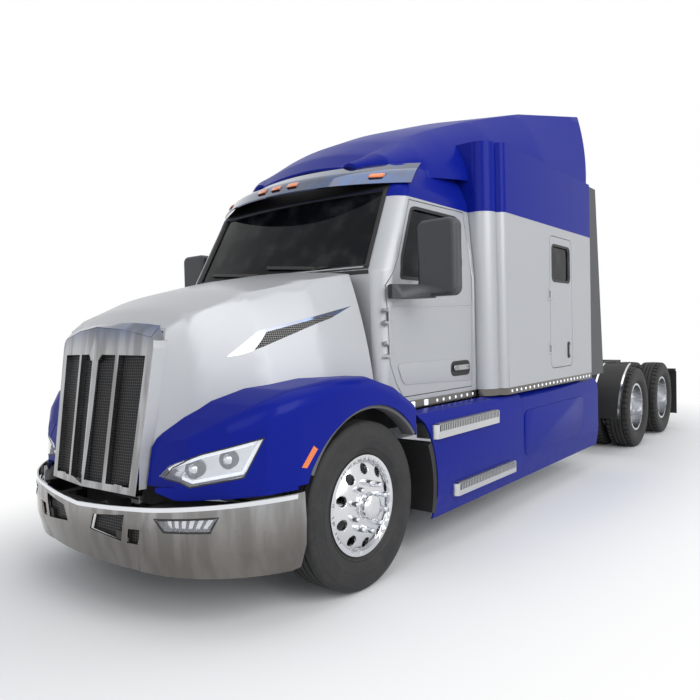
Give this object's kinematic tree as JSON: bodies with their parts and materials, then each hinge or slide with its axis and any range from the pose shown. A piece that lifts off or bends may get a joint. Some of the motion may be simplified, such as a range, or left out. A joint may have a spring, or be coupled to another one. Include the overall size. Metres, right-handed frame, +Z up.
{
  "type": "semi truck tractor unit",
  "caption": "Conventional sleeper tractor unit with a forward-tilting hood, opening doors, steered front wheels, spinning dual drive wheels and a tilting fifth-wheel coupling.",
  "frame": {"origin": "on the ground under the middle of the truck's length and width", "axes": "+Z up, -Y towards the front bumper, +X towards the driver's left side"},
  "size_m": [2.87, 8.9298, 3.8901],
  "materials": {
    "silver_paint": "light silver metallic paint under clear coat",
    "blue_paint": "deep royal-blue metallic paint under clear coat",
    "chrome": "bright plated finish",
    "polished_aluminium": "polished forged aluminium",
    "tread_aluminium": "serrated mill-finish aluminium",
    "tyre_rubber": "matt black rubber",
    "tinted_glass": "tinted safety glass",
    "lamp_clear": "clear lamp lens",
    "lamp_amber": "amber lamp lens",
    "lamp_red": "red lamp lens",
    "mesh_black": "black fine mesh",
    "dark_plastic": "dark grey satin moulding",
    "black_plastic": "black moulding",
    "frame_paint": "black chassis paint",
    "cast_metal": "painted castings",
    "trim_grey": "grey interior moulding",
    "upholstery": "dark grey woven cloth"
  },
  "bodies": {
    "chassis": {"frame_rails": "frame_paint", "frame_members": "frame_paint", "front_support": "frame_paint", "bumper": "chrome", "fog_lamps": "lamp_clear", "front_axle": "cast_metal", "engine_block": "cast_metal", "radiator": "black_plastic", "drive_axles": "cast_metal", "fuel_tanks": "polished_aluminium", "chassis_fairings": "blue_paint", "step_treads": "tread_aluminium", "cab_shell": "silver_paint", "cab_roof": "blue_paint", "fixed_glass": "tinted_glass", "sun_visor": "chrome", "marker_lamps": "lamp_amber", "sleeper_shell": "silver_paint", "sleeper_upper": "blue_paint", "roof_fairing": "blue_paint", "side_extenders": "dark_plastic", "fifth_wheel_base": "frame_paint", "splash_guards": "black_plastic", "tail_lamps": "lamp_red", "dashboard": "trim_grey", "upholstery": "upholstery"},
    "hood": {"hood_shell": "silver_paint", "fenders": "blue_paint", "grille_surround": "chrome", "grille_mesh": "mesh_black", "headlamps": "lamp_clear", "hood_vents": "chrome", "fender_lamps": "lamp_amber"},
    "door_left": {"door_left": "silver_paint", "door_left_glass": "tinted_glass", "mirror_left": "dark_plastic"},
    "door_right": {"door_right": "silver_paint", "door_right_glass": "tinted_glass", "mirror_right": "dark_plastic"},
    "sleeper_hatch": {"sleeper_hatch": "silver_paint", "sleeper_hatch_glass": "tinted_glass"},
    "knuckle_left": {"knuckle_left": "cast_metal"},
    "knuckle_right": {"knuckle_right": "cast_metal"},
    "front_wheel_left": {"front_wheel_left": "polished_aluminium", "front_tyre_left": "tyre_rubber"},
    "front_wheel_right": {"front_wheel_right": "polished_aluminium", "front_tyre_right": "tyre_rubber"},
    "fifth_wheel": {"fifth_wheel_plate": "cast_metal"},
    "drive_wheels_1_left": {"drive_wheels_1_left": "polished_aluminium", "drive_tyres_1_left": "tyre_rubber"},
    "drive_wheels_1_right": {"drive_wheels_1_right": "polished_aluminium", "drive_tyres_1_right": "tyre_rubber"},
    "drive_wheels_2_left": {"drive_wheels_2_left": "polished_aluminium", "drive_tyres_2_left": "tyre_rubber"},
    "drive_wheels_2_right": {"drive_wheels_2_right": "polished_aluminium", "drive_tyres_2_right": "tyre_rubber"}
  },
  "joints": [
    {"name": "hood_tilt", "type": "hinge", "parent": "chassis", "child": "hood", "pos_m": [0, -4.355, 0.56], "axis": [1, 0, 0], "range_deg": [0, 75]},
    {"name": "door_left_swing", "type": "hinge", "parent": "chassis", "child": "door_left", "pos_m": [1.053, -2.849, 1.53], "axis": [0, 0, -1], "range_deg": [0, 65]},
    {"name": "door_right_swing", "type": "hinge", "parent": "chassis", "child": "door_right", "pos_m": [-1.053, -2.849, 1.53], "axis": [0, 0, 1], "range_deg": [0, 65]},
    {"name": "sleeper_hatch_swing", "type": "hinge", "parent": "chassis", "child": "sleeper_hatch", "pos_m": [1.23, -0.519, 1.6], "axis": [0, 0, -1], "range_deg": [0, 85]},
    {"name": "steer_left", "type": "hinge", "parent": "chassis", "child": "knuckle_left", "pos_m": [0.85, -3.295, 0.507], "axis": [0, 0, 1], "range_deg": [-40, 40]},
    {"name": "steer_right", "type": "hinge", "parent": "chassis", "child": "knuckle_right", "pos_m": [-0.85, -3.295, 0.507], "axis": [0, 0, 1], "range_deg": [-40, 40]},
    {"name": "front_left_spin", "type": "hinge", "parent": "knuckle_left", "child": "front_wheel_left", "pos_m": [1.04, -3.295, 0.507], "axis": [1, 0, 0], "continuous": true},
    {"name": "front_right_spin", "type": "hinge", "parent": "knuckle_right", "child": "front_wheel_right", "pos_m": [-1.04, -3.295, 0.507], "axis": [1, 0, 0], "continuous": true},
    {"name": "drive_1_left_spin", "type": "hinge", "parent": "chassis", "child": "drive_wheels_1_left", "pos_m": [0.92, 2.365, 0.507], "axis": [1, 0, 0], "continuous": true},
    {"name": "drive_1_right_spin", "type": "hinge", "parent": "chassis", "child": "drive_wheels_1_right", "pos_m": [-0.92, 2.365, 0.507], "axis": [1, 0, 0], "continuous": true},
    {"name": "drive_2_left_spin", "type": "hinge", "parent": "chassis", "child": "drive_wheels_2_left", "pos_m": [0.92, 3.685, 0.507], "axis": [1, 0, 0], "continuous": true},
    {"name": "drive_2_right_spin", "type": "hinge", "parent": "chassis", "child": "drive_wheels_2_right", "pos_m": [-0.92, 3.685, 0.507], "axis": [1, 0, 0], "continuous": true},
    {"name": "fifth_wheel_tilt", "type": "hinge", "parent": "chassis", "child": "fifth_wheel", "pos_m": [0, 2.915, 1.095], "axis": [1, 0, 0], "range_deg": [-12, 12]}
  ],
  "couplings": [
    {"joint": "steer_right", "follows": "steer_left", "ratio": 1}
  ]
}
